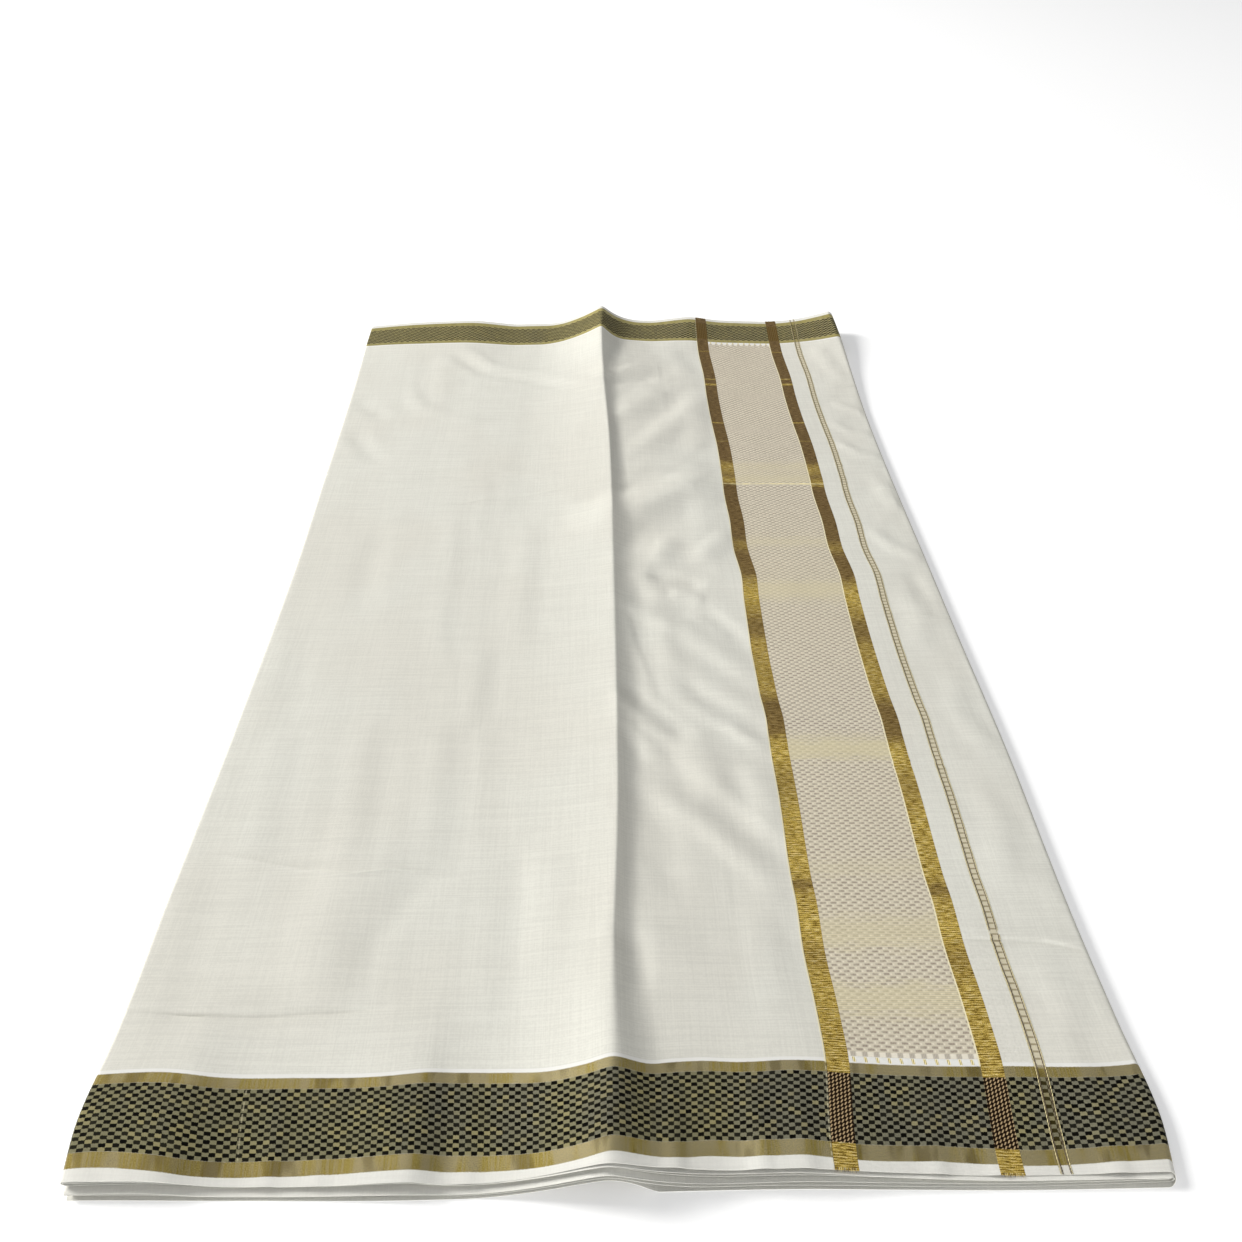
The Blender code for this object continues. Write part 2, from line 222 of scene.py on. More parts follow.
# Lines across the cloth that its rows of points follow, so that a crease stays crisp along
# them. Each is a course of points in X and Y, in millimetres.
crossLines = [
    [(-345, -481), (-300, -484), (-254, -485), (-204, -483), (-150, -480), (345, -480)],
    [(-345, -427), (130, -427), (250, -433), (311, -436), (345, -445)],
    [(-345, -350), (-315, -353), (-273, -361), (-235, -369), (-206, -373), (-177, -369),
     (-142, -371), (-111, -365), (-81, -363), (-46, -367), (0, -370), (345, -379)],
    [(-345, -262), (345, -262)],
    [(-345, -233), (-180, -231), (345, -234)],
    [(-345, -219), (-150, -218), (-90, -221), (-20, -222), (345, -222)],
    [(-345, -74), (-223, -76), (-180, -77), (-160, -81), (345, -68)],
    [(-345, -6), (345, -3)],
    [(-345, 128), (-235, 128), (-165, 134), (-142, 142), (-96, 148), (-50, 161), (345, 161)],
    [(-345, 184), (-24, 184), (0, 174), (36, 170), (61, 168), (94, 167), (262, 169), (345, 163)],
    [(-345, 212), (-246, 204), (-165, 200), (-100, 196), (-20, 191), (345, 188)],
    [(-345, 260), (-81, 258), (-42, 255), (345, 256)],
    [(-345, 411), (345, 410)],
]

# Creases in the top leaf: shape, reach to the left and right of the way it runs, height, and
# the points of its course, in millimetres. A roll stands up on its left and down on its right.
creases = [
    # pressed lines across the whole cloth
    ("soft", 12, 12, 0.35, (-345, 192), (0, 187)),
    ("soft", 15, 15, 0.8, (0, 187), (345, 180)),
    ("soft", 15, 15, 0.4, (-330, -5), (345, -4)),
    ("soft", 12, 12, 0.35, (-345, -228), (0, -233)),
    ("soft", 15, 15, 0.8, (20, -233), (300, -240)),
    # left half, far
    ("sharp", 3.5, 3.5, 0.4, (-352, 184), (-200, 184)),
    ("sharp", 3.5, 4, 0.22, (-210, 184), (-10, 184)),
    ("sharp", 4, 4, 0.34, (-350, 212), (-246, 204), (-165, 200), (-100, 196), (-10, 190)),
    ("sharp", 3, 3, 0.42,
     (-255, 126), (-235, 128), (-165, 134), (-142, 142), (-96, 148), (-50, 161), (-22, 165)),
    ("sharp", 3, 3.5, 0.36, (-130, 261), (-115, 260), (-81, 258), (-42, 255), (-22, 258)),
    ("soft", 16, 24, 1.0, (-262, 420), (-254, 384), (-238, 350), (-208, 335), (-135, 315)),
    ("soft", 22, 18, -0.9, (-335, 375), (-327, 369), (-300, 342), (-285, 315)),
    ("roll", 26, 24, 1.7, (-230, 530), (-190, 490), (-161, 458), (-119, 442), (-65, 419), (-25, 391)),
    ("sharp", 7, 6, -0.5, (-80, 424), (-40, 402), (-10, 380)),
    ("soft", 12, 12, 0.8, (-110, 456), (-58, 446), (-30, 440)),
    ("soft", 9, 10, 0.3, (-222, 436), (-160, 444)),
    ("soft", 9, 9, -0.35, (-204, 434), (-146, 414)),
    ("soft", 20, 18, -0.9, (-325, 305), (-319, 292), (-300, 254), (-288, 235), (-262, 218)),
    ("roll", 30, 30, 0.4, (-226, 530), (-236, 440), (-225, 340)),
    ("soft", 12, 22, 0.5,
     (-178, 140), (-170, 60), (-168, 0), (-170, -60), (-166, -111), (-150, -146), (-140, -164)),
    ("soft", 24, 28, 0.9, (-98, 120), (-92, 30), (-96, -60), (-88, -150)),
    ("soft", 26, 26, -0.7, (-250, 90), (-256, 10), (-248, -70)),
    ("roll", 18, 18, 0.25, (-141, 60), (-138, 130), (-140, 205)),
    # left half, near
    ("sharp", 4, 4, 0.3, (-320, -74), (-223, -76), (-165, -77)),
    ("sharp", 4, 4, -0.25, (-175, -81), (-95, -82)),
    ("sharp", 4, 4, 0.3, (-355, -219), (-150, -218), (-90, -221), (-5, -222)),
    ("sharp", 3.5, 3.5, 0.3, (-355, -233), (-180, -231), (-5, -231)),
    ("sharp", 4, 3, 1.0,
     (-345, -350), (-315, -353), (-273, -361), (-235, -369), (-206, -373), (-177, -369), (-142, -371),
     (-111, -365)),
    ("sharp", 3, 2, 0.45, (-111, -365), (-81, -363), (-46, -367)),
    ("sharp", 3, 2, 0.45, (-90, -379), (-42, -388), (-20, -388)),
    ("soft", 44, 66, 2.0, (-160, -318), (-196, -368), (-216, -420), (-222, -500)),
    ("soft", 12, 22, -0.5, (-116, -364), (-154, -388), (-177, -430), (-182, -486)),
    ("roll", 7, 6, 1.6,
     (-356, -479), (-338, -481), (-300, -484), (-254, -485), (-204, -483), (-145, -480)),
    ("roll", 28, 28, 0.4, (-306, -245), (-306, -150), (-310, -60)),
    ("roll", 28, 28, 0.45, (-276, -385), (-281, -300), (-286, -205)),
    ("roll", 28, 28, 0.5, (-205, -390), (-208, -300), (-214, -190)),
    ("roll", 28, 28, 0.6, (-136, -395), (-141, -300), (-146, -190)),
    ("roll", 22, 22, 0.5, (-124, -228), (-120, -160), (-123, -100)),
    ("roll", 30, 30, 0.5, (-314, -530), (-320, -350)),
    ("roll", 26, 26, 0.5, (-84, -520), (-90, -340)),
    ("soft", 24, 24, 0.7, (-60, -470), (-52, -400), (-58, -330)),
    ("soft", 26, 26, -0.5, (-238, -520), (-246, -430), (-240, -340)),
    # right half, far
    ("soft", 26, 32, 2.5, (18, 214), (46, 258), (74, 298), (100, 330), (116, 372), (128, 424)),
    ("soft", 24, 24, 1.2, (98, 236), (114, 290), (122, 350)),
    ("soft", 30, 30, 1.7, (8, 320), (34, 348), (60, 376), (66, 410)),
    ("soft", 9, 20, 0.9, (-4, 318), (26, 334), (66, 344)),
    ("soft", 42, 56, 4.8, (-48, 72), (140, 194)),
    ("sharp", 13, 28, 0.9, (-26, 78), (26, 112), (62, 138), (98, 158), (140, 166)),
    ("soft", 30, 42, 1.3, (104, 10), (112, 165)),
    ("soft", 30, 36, 0.9, (-10, -4), (120, 84)),
    ("soft", 17, 22, 1.4, (46, 14), (54, 34), (64, 68)),
    ("soft", 20, 26, 1.7, (90, 12), (106, 42), (138, 76)),
    ("soft", 24, 20, 1.4, (0, 205), (70, 212), (134, 204)),
    ("roll", 30, 26, 1.7, (-24, 408), (26, 424), (72, 440)),
    ("sharp", 5, 9, 0.7, (50, 402), (100, 410), (140, 409)),
    ("roll", 7, 7, 0.14, (72, 390), (73, 490)),
    ("roll", 7, 7, 0.12, (77, 275), (75, 405)),
    ("soft", 12, 13, 0.6, (-10, 408), (14, 440), (40, 462)),
    ("soft", 12, 13, 0.6, (-8, 432), (18, 466), (46, 490)),
    ("soft", 24, 26, 1.0, (6, 462), (34, 496), (54, 536)),
    ("soft", 24, 26, 1.0, (84, 520), (102, 470), (110, 426)),
    ("sharp", 26, 7, 0.9, (-14, 178), (0, 174), (36, 170), (61, 168), (94, 167), (150, 167)),
    ("sharp", 12, 6, 0.7, (110, 167), (262, 169)),
    ("sharp", 10, 5, 0.8, (268, 168), (345, 163)),
    ("sharp", 12, 5, 1.1, (272, 215), (342, 211)),
    ("sharp", 10, 6, 0.9, (272, 411), (345, 410)),
    ("soft", 12, 14, 1.2, (342, 282), (309, 292), (280, 320)),
    ("soft", 12, 14, 1.4, (344, 226), (307, 242), (280, 276)),
    ("soft", 14, 16, 1.4, (342, 20), (307, 50), (284, 88)),
    ("soft", 12, 12, 1.1, (342, 334), (294, 370)),
    ("soft", 18, 18, 1.0, (338, 112), (322, 150), (318, 206)),
    ("soft", 18, 18, 0.9, (298, 530), (310, 470), (324, 415)),
    # right half, near
    ("soft", 14, 12, -1.9, (34, -3), (60, -8), (76, -13), (100, -22)),
    ("soft", 13, 14, 1.5, (56, -30), (74, -33), (98, -43)),
    ("roll", 18, 18, 0.9, (124, -104), (102, -76), (82, -52)),
    ("soft", 18, 18, 0.8, (22, 12), (40, -22), (52, -64)),
    ("roll", 32, 32, 1.5, (150, -158), (112, -116), (78, -74), (40, -40)),
    ("roll", 26, 26, 1.0, (150, -206), (112, -174), (80, -138), (44, -106)),
    ("roll", 20, 20, 1.2, (146, -244), (110, -216), (80, -190), (50, -164)),
    ("soft", 12, 12, 0.7, (96, -212), (114, -232), (136, -248)),
    ("roll", 20, 20, 1.6, (66, -244), (32, -206), (-4, -170)),
    ("soft", 18, 18, 1.5, (0, -196), (22, -230), (42, -270)),
    ("soft", 6, 13, 0.55, (8, -50), (20, -108), (29, -150), (40, -196)),
    ("roll", 24, 30, 1.5, (74, -84), (40, -58), (6, -40)),
    ("soft", 20, 18, 0.9, (44, -70), (52, -130), (58, -190)),
    ("soft", 30, 26, 2.0, (56, -222), (76, -266), (82, -316)),
    ("roll", 28, 28, 1.9, (140, -384), (102, -346), (68, -308), (30, -274)),
    ("soft", 22, 22, 1.2, (112, -252), (124, -300), (120, -350)),
    ("soft", 22, 24, -0.9, (18, -280), (36, -340), (42, -410)),
    ("roll", 4.5, 4.5, 0.13, (99, -410), (94, -365), (92, -327), (88, -248)),
    ("roll", 4.5, 4.5, 0.1, (87, -416), (83, -365), (84, -315)),
    ("soft", 24, 24, 0.8, (112, -490), (104, -430), (116, -370)),
    ("sharp", 3.5, 3.5, 0.11, (-12, -427), (140, -427)),
    ("sharp", 3.5, 3.5, 0.09, (10, -379), (140, -379)),
    ("sharp", 3, 3, 0.45, (128, -427), (256, -433)),
    ("roll", 5, 4, 0.95, (240, -432), (311, -436), (352, -446)),
    ("sharp", 5, 5, 0.6, (122, -237), (252, -237)),
    ("roll", 6, 6, 0.6, (122, -262), (240, -262), (352, -262)),
    ("sharp", 4, 4, 0.6, (278, -65), (340, -71)),
    ("soft", 14, 16, -0.8, (316, 10), (322, -44)),
    ("soft", 20, 20, 0.9, (298, -120), (310, -60), (298, -10)),
    ("soft", 22, 22, 0.9, (294, -400), (312, -330), (302, -275)),
    ("soft", 20, 20, 0.8, (332, -262), (312, -200), (320, -140)),
    ("soft", 20, 20, 0.8, (298, -532), (312, -480), (298, -440)),
    ("soft", 16, 16, -1.2, (-8, -416), (10, -442), (14, -480)),
    # across the near border
    ("soft", 12, 8, 0.9, (-222, -690), (-220, -520)),
    ("soft", 12, 8, 0.7, (-190, -690), (-188, -522)),
    ("soft", 14, 9, 0.7, (-97, -690), (-98, -520)),
    ("soft", 12, 10, 0.6, (-334, -690), (-332, -520)),
    ("soft", 12, 9, 1.0, (30, -690), (31, -518)),
    ("soft", 14, 10, 1.1, (84, -690), (84, -518)),
    ("soft", 14, 9, 0.8, (113, -690), (112, -522)),
    ("soft", 14, 10, 0.8, (196, -690), (194, -520)),
    ("soft", 12, 9, 0.7, (232, -690), (233, -524)),
    ("soft", 14, 11, 0.9, (306, -690), (308, -518)),
]


def readTable(table, column, at):
    # a column's value at places along the table, on a smooth curve through its rows
    places, values = np.array(table["at"]), np.array(table[column])
    at = np.clip(at, places[0], places[-1])
    upper = np.clip(np.searchsorted(places, at), 1, len(places) - 1)
    lower = upper - 1
    before, after = np.maximum(lower - 1, 0), np.minimum(upper + 1, len(places) - 1)
    span = places[upper] - places[lower]
    t = (at - places[lower]) / span
    startSlope = (values[upper] - values[before]) / (places[upper] - places[before])
    endSlope = (values[after] - values[lower]) / (places[after] - places[lower])
    return (
        values[lower] * (1 + 2 * t) * (1 - t) ** 2
        + values[upper] * t * t * (3 - 2 * t)
        + span * startSlope * t * (1 - t) ** 2
        - span * endSlope * t * t * (1 - t)
    )


def fade(distance, reach):
    # 1 at no distance, and smoothly down to 0 at the reach
    t = np.clip(distance / reach, 0, 1)
    return 1 - t * t * (3 - 2 * t)


def ridgeShares(x, y):
    # the share of the ridge's height that lifts every leaf here, and the share that loosens the
    # upper leaves beside it
    away = x - readTable(ridge, "place", y)
    onRight = away > 0
    reach = np.where(onRight, readTable(ridge, "right", y), readTable(ridge, "left", y))
    power = np.where(onRight, fold["ridgeFlanks"][1], fold["ridgeFlanks"][0])
    rounding = readTable(ridge, "round", y)
    away = np.hypot(away, rounding) - rounding
    flank = np.maximum(0, 1 - away / reach) ** power
    slow = np.maximum(0, 1 - away / fold["loftReach"]) ** 1.3
    loft = np.where(onRight, readTable(ridge, "loft", y) * np.maximum(0, slow - flank), 0)
    return flank, loft


def stackLift(x, y):
    # the centre ridge and the far right corner, which lift every leaf
    flank = ridgeShares(x, y)[0]
    along = np.clip(1 - (half - x) / fold["cornerAlong"], 0, 1)
    deep = np.clip(1 - (clothHalf - y) / fold["cornerDeep"], 0, 1)
    return readTable(ridge, "height", y) * flank + fold["cornerLift"] * along ** 2 * deep ** 1.3


def nearAndFar(table, x, y):
    # a table's values for the near and the far edge, each fading out in from its own edge
    near = readTable(table, "near", x) * fade(y + clothHalf, fold["waveReach"])
    return near, readTable(table, "far", x) * fade(clothHalf - y, fold["waveReach"])


def stackThickness(x, y):
    near, far = nearAndFar(waves, x, y)
    loose = readTable(ridge, "height", y) * ridgeShares(x, y)[1]
    return fold["stack"] + near + far + loose


def layAcross(x, v, shift):
    near, far = nearAndFar(ends, x, v)
    return v + near + far + shift


def borderWander(x, v):
    deep = (v + clothHalf) / mm
    outer = np.interp(deep, borderSway["outerDeep"], (0, 1, 0))
    inner = np.interp(deep, borderSway["innerDeep"], (0, 1, 0))
    return (outer * readTable(borderSway, "outer", x) + inner * readTable(borderSway, "inner", x)) * mm


def layAlong(x, v):
    edge = np.where(x > 0, half, -half)
    side = np.where(x > 0, readTable(sides, "right", v), readTable(sides, "left", v))
    reach = np.where(x > 0, half - fold["ladderAt"], fold["leftReach"])
    draw = readTable(ends, "draw", x) * fade(v + clothHalf, fold["drawReach"])
    return x + draw + (side - edge) * fade(abs(edge - x), reach)


def bandWander(x, v):
    return np.interp(x, bandSway["along"], (0, 1, 1, 0)) * readTable(bandSway, "right", v) * mm


def creaseHeight(x, y):
    # every crease is a course of straight runs, and fades out toward both its ends
    total = np.zeros_like(x)
    px, py = x / mm, y / mm
    for shape, left, right, height, *course in creases:
        points = np.array(course, float)
        reach = max(left, right)
        low, high = points.min(0) - reach, points.max(0) + reach
        near = (px > low[0]) & (px < high[0]) & (py > low[1]) & (py < high[1])
        if not near.any():
            continue
        qx, qy = px[near], py[near]
        runs = np.hypot(*np.diff(points, axis=0).T)
        covered = np.concatenate([[0], np.cumsum(runs)])
        best = np.full(qx.shape, np.inf)
        side, along = np.zeros(qx.shape), np.zeros(qx.shape)
        for (ax, ay), (bx, by), run, start in zip(points, points[1:], runs, covered):
            dx, dy = (bx - ax) / run, (by - ay) / run
            t = np.clip((qx - ax) * dx + (qy - ay) * dy, 0, run)
            offX, offY = qx - ax - dx * t, qy - ay - dy * t
            distance = np.hypot(offX, offY)
            closer = distance < best
            best = np.where(closer, distance, best)
            side = np.where(closer, dx * offY - dy * offX, side)
            along = np.where(closer, start + t, along)
        share = along / covered[-1]
        ending = 1 - fade(np.minimum(share, 1 - share), 0.28)
        part = np.clip(best / np.where(side > 0, left, right), 0, 1)
        if shape == "sharp":
            profile = (1 - part) ** 1.6
        elif shape == "soft":
            profile = 0.5 + 0.5 * np.cos(pi * part)
        else:
            profile = np.sign(side) * 2.6 * part * (1 - part ** 2) ** 2
        total[near] += height * mm * fold["creaseScale"] * profile * ending
    return total


def noiseAt(x, y, z):
    # smooth noise at each of these points
    points = np.broadcast_arrays(x, y, z)
    values = [noise.noise(Vector(point)) for point in zip(*(measure.flat for measure in points))]
    return np.reshape(values, points[0].shape)


# The unevenness of handled cloth: how often along X and Y in a metre, a seed and a height
handling = {
    "folds": (24, 7, 3.1, 0.0011),
    "lesser": (55, 17, 5.7, 0.0004),
    "lengthways": (30, 5, 11.3, 0.0003),
    "small": (60, 50, 8.4, 0.00008),
    # from here the folds slant to the right, both away from the viewer and toward the viewer
    "slantFrom": -0.02,
    "slants": (-0.62, 0.52),
    "along": 0.86,
    # how much they show at places along X, where the rest lies lengthways
    "at": (-0.03, 0.03, 0.11, 0.16, 0.26, 0.33),
    "share": (0, 1.0, 0.9, 0.35, 0.4, 0.9),
}


def unevenness(name, x, y):
    often, across, seed, height = handling[name]
    return noiseAt(x * often, y * across, seed) * height


def softUnevenness(x, y):
    # lengthways to the left of the ridge, and in slanting folds to its right
    slants = np.where(y > handling["slantFrom"], *handling["slants"])
    leaning = x * handling["along"] + (y - handling["slantFrom"]) * slants
    folds = unevenness("folds", leaning, y) + unevenness("lesser", leaning, y)
    share = np.interp(x, handling["at"], handling["share"])
    return folds * share + unevenness("lengthways", x, y) * (1 - share) + unevenness("small", x, y)


def guideRows(x, rows):
    # rows are places across the cloth, bent to follow the cross lines
    guided = np.empty((len(x), len(rows)))
    middle, edge = halfSlip / mm, clothHalf / mm
    for i, at in enumerate(x):
        bases, targets = [-edge], [-edge]
        for line in crossLines:
            places, courses = zip(*line)
            bases.append(courses[len(courses) // 2] - middle)
            targets.append(np.interp(at / mm, places, courses) - middle)
        guided[i] = np.interp(rows / mm, bases + [edge], targets + [edge]) * mm
    return guided


def clusteredRows(step, fine):
    # places across the cloth about step apart, closer beside each cross line
    lines = [line[len(line) // 2][1] * mm - halfSlip for line in crossLines]
    plain = np.linspace(-clothHalf, clothHalf, round(fold["clothWidth"] / step) + 1)
    beside = np.array([line + away * fine for line in lines for away in (-2.2, -1, 0, 1, 2.2)])
    kept = [p for p in plain if min(abs(beside - p)) > step * 0.45 or abs(p) == clothHalf]
    return np.sort(np.concatenate([kept, beside]))


def columnsOf(stretches):
    # places along the cloth: each stretch is a start, an end and a step
    places = [np.linspace(a, b, max(2, round((b - a) / step) + 1)) for a, b, step in stretches]
    return np.unique(np.concatenate(places).round(7))


def topLeaf(x, v):
    # the outer face of the top leaf
    px = layAlong(x, v) + bandWander(x, v)
    py = layAcross(px, v, halfSlip) + borderWander(px, v)
    pz = stackLift(px, py) + stackThickness(px, py) + creaseHeight(px, py) + softUnevenness(px, py)
    return px, py, pz


print("folds and creases read")


# Materials

def paint(red, green, blue):
    # a colour as seen on screen, made linear
    shares = [value / 255 for value in (red, green, blue)]
    return tuple(s / 12.92 if s <= 0.04045 else ((s + 0.055) / 1.055) ** 2.4 for s in shares)


# lengths are in millimetres of cloth
weave = {
    "selvedge": 600.0,         # from the cloth's middle thread
    "threadPitch": 0.42,       # plain weave, warp and weft alike
    "cellLong": 4.0,           # a check along the selvedge
    "cellRows": 18,
    "goldOuter": (7.4, 17.0),  # in from the selvedge
    "checks": (17.0, 61.0),
    "goldInner": (61.0, 68.0),
    "firstBand": (134.8, 150.2),
    "secondBand": (238.9, 253.9),
    "besideBand": 4.888,       # beads of the bright thread beside the first band
    "startedWeft": (-247.1, -246.2),  # a line begun in the near border
    "startedTo": (-531.0, -530.0),
    "pastBorder": (66.0, 69.0),
    "bodyFrom": (67.8, 68.4),
    "ladderCells": (275.6, 281.5),
    "rungs": (276.5, 280.5),
    "rungPitch": 4.9,
    "markLong": 8.0,           # the brocade's marks, in brick order
    "markRow": 2.6,
    "rib": 1.05,               # the ground's ribs show in each mark
    "yellowPitch": 1.5,
    "goldPitch": 1.75,
    "scaleLong": 2.57,         # the scales where the bands cross the borders
    "scaleWide": 2.444,
    "scaleFrom": 0.6,
    "panelEnds": (68.2, 73.0, 76.4),  # white blocks, then dark ones, in from the selvedge
    "ticks": (68.9, 72.6),     # gold, between the white blocks
    "ticksMiddle": 71.0,
    "glintingWeft": (170.6, 172.2),  # a painted glint along one weft, across the whole panel
    # where the bands' gold thread catches the light, across the cloth
    "shine": [
        (-600, 0.8), (-470, 0.85), (-448, 0.5), (-425, 1.0), (-398, 0.8), (-388, 0.15), (-378, 0.9),
        (-340, 0.85), (-322, 0.95), (-288, 0.55), (-275, 0.6), (-254, 1.0), (-240, 0.85), (-228, 0.15),
        (-192, 0.1), (-174, 0.65), (-140, 0.7), (-105, 0.6), (-95, 0.2), (-75, 0.25), (-60, 0.6),
        (-36, 1.0), (-18, 0.8), (0, 0.1), (36, 0.05), (50, 0.5), (66, 0.05), (168, 0.0),
        (176, 0.9), (188, 0.2), (210, 0.7), (226, 0.0),
    ],
    # painted glints along single wefts in the bands: place, half width and strength
    "glintWefts": [
        (507, 1.0, 0.45), (430, 1.6, 0.5), (415, 2.6, 0.7), (313, 1.0, 0.9), (268, 0.9, 0.35),
    ],
    # where the brocade's yellow weft covers its marks, shown as painted highlight where the cloth catches
    # the light
    "yellowSheen": [
        (-530, 0.0), (-500, 0.15), (-490, 0.8), (-478, 0.8), (-468, 0.1), (-448, 0.1), (-438, 0.75),
        (-424, 0.7), (-412, 0.15), (-384, 0.1), (-374, 0.5), (-362, 0.1), (-262, 0.1), (-256, 0.95),
        (-244, 0.95), (-236, 0.45), (-226, 0.0), (-50, 0.1), (-34, 0.7), (-20, 0.8), (-10, 0.2),
        (44, 0.1), (56, 0.55), (70, 0.1), (168, 0.0), (176, 0.75), (186, 0.55), (196, 0.3), (210, 0.6),
        (222, 0.0),
    ],
}

# colours as seen on screen
colours = {
    "white": (226, 225, 215),
    "whiteWarm": (222, 219, 208),
    "whiteGrey": (196, 194, 184),
    "whiteLine": (233, 232, 227),
    "goldYellow": (138, 122, 58),
    "goldBright": (188, 173, 110),
    "goldGrey": (150, 140, 110),
    "goldDeep": (82, 70, 38),
    # painted sheen on the far border's gold
    "goldFar": (208, 198, 128),
    "checkDark": (4, 3, 0),
    "checkLight": (122, 118, 89),
    "checkGrey": (110, 108, 92),
    "checkPale": (154, 149, 122),
    "bandPale": (252, 238, 178),
    "bandBright": (220, 190, 92),
    "bandDeep": (106, 82, 26),
    "bandBrown": (142, 117, 74),
    "bandBrownDark": (82, 62, 34),
    "edgeThread": (238, 228, 190),
    "scaleDark": (28, 14, 2),
    "scalePale": (204, 176, 134),
    "brocadeCream": (212, 203, 183),
    "brocadeLight": (232, 225, 208),
    "brocadeMark": (146, 134, 122),
    "yellowWeft": (226, 214, 168),
    "yellowDeep": (190, 180, 138),
    "ladderCream": (208, 199, 172),
    "ladderRung": (146, 134, 104),
    "threadGold": (226, 212, 158),
    "threadDark": (92, 78, 56),
    "threadSpots": (70, 52, 20),
}


class Reading:
    # a node's output, which + - * and / work on as they do on a number

    def __init__(self, nodes, socket):
        self.nodes = nodes
        self.socket = socket

    def __add__(self, other):
        return self.nodes.calc("ADD", self, other)

    def __sub__(self, other):
        return self.nodes.calc("SUBTRACT", self, other)

    def __rsub__(self, other):
        return self.nodes.calc("SUBTRACT", other, self)

    def __mul__(self, other):
        return self.nodes.calc("MULTIPLY", self, other)

    def __truediv__(self, other):
        return self.nodes.calc("DIVIDE", self, other)

    def atLeast(self, other):
        return self.nodes.calc("MAXIMUM", self, other)

    def whole(self):
        return self.nodes.calc("FLOOR", self)

    def part(self):
        # what is left above the whole number
        return self.nodes.calc("FRACT", self)

    def wave(self, pitch):
        return self.nodes.calc("SINE", self * (2 * pi / pitch))

    def ramp(self, low, high, first=0.0, last=1.0):
        values = (self, low, high, first, last)
        return self.nodes.add("ShaderNodeMapRange", values, interpolation_type="SMOOTHSTEP")

    def between(self, low, high, soft=0.15):
        # 1 from low to high, with soft edges
        return self.ramp(low - soft, low + soft) - self.ramp(high - soft, high + soft)


class ClothNodes:
    # the nodes that draw a weave on a cloth's own UV map

    def __init__(self, name):
        self.material = bpy.data.materials.new(name)
        self.material.use_nodes = True
        self.shader = self.material.node_tree.nodes["Principled BSDF"]

    def add(self, kind, values=(), output=0, **settings):
        # a node with these values in its first inputs, or in the inputs that a dictionary names
        made = self.material.node_tree.nodes.new(kind)
        for name, setting in settings.items():
            setattr(made, name, setting)
        named = values.items() if isinstance(values, dict) else enumerate(values)
        for socket, value in named:
            self.feed(made.inputs[socket], value)
        return Reading(self, made.outputs[output])

    def feed(self, socket, value):
        if isinstance(value, Reading):
            self.material.node_tree.links.new(value.socket, socket)
        elif isinstance(value, tuple):
            socket.default_value = (*value, 1)[:len(socket.default_value)]
        else:
            socket.default_value = value

    def calc(self, operation, *values):
        return self.add("ShaderNodeMath", values, operation=operation)

    def mix(self, colour, *coats):
        # coats of colour over a first one, each with its strength
        for strength, coat in coats:
            under, over = [paint(*colours[c]) if isinstance(c, str) else c for c in (colour, coat)]
            colour = self.add("ShaderNodeMix", {0: strength, 6: under, 7: over}, 2, data_type="RGBA")
        return colour

    def speckle(self, along, across, detail, seed):
        # noise from 0 to 1, so many to a millimetre along the cloth and across it
        place = self.add("ShaderNodeCombineXYZ", (self.u * along, self.v * across, seed))
        return self.add("ShaderNodeTexNoise", {"Vector": place, "Scale": 1.0, "Detail": detail})

    def chance(self, row, step, seed):
        # one steady random value for each row and step
        place = self.add("ShaderNodeCombineXYZ", (row, step, seed))
        return self.add("ShaderNodeTexWhiteNoise", [place])

    def profile(self, value, stops):
        # a value read off stops from selvedge to selvedge
        width = 2 * weave["selvedge"]
        made = self.add("ShaderNodeValToRGB", [(value + weave["selvedge"]) / width])
        points = made.socket.node.color_ramp.elements
        while len(points) < len(stops):
            points.new(0.5)
        for point, (place, strength) in zip(points, stops):
            point.position = (place + weave["selvedge"]) / width
            point.color = (strength, strength, strength, 1)
        return made

    def measure(self):
        # millimetres along the cloth, from its middle thread, and in from the nearer selvedge
        place = self.add("ShaderNodeUVMap", uv_map="cloth")
        split = self.add("ShaderNodeSeparateXYZ", [place]).socket.node
        self.u, self.v = [Reading(self, split.outputs[axis]) * 1000.0 for axis in (0, 1)]
        self.inward = weave["selvedge"] - self.calc("ABSOLUTE", self.v)


def plainGround(nodes):
    # off-white ground, with slubs along warp and weft
    warp = nodes.speckle(0.02, 1.1, 2.0, 1.5)
    weft = nodes.speckle(1.1, 0.02, 2.0, 5.5)
    broad = nodes.speckle(0.008, 0.006, 2.0, 9.5)
    fine = nodes.speckle(0.7, 0.7, 3.0, 13.5)
    slubs = warp * 0.4 + weft * 0.3 + fine * 0.3
    return nodes.mix(
        "white",
        (broad.ramp(0.35, 0.65, 0.0, 0.6), "whiteWarm"),
        (slubs.ramp(0.38, 0.62, 0.0, 0.37), "whiteGrey"),
    )


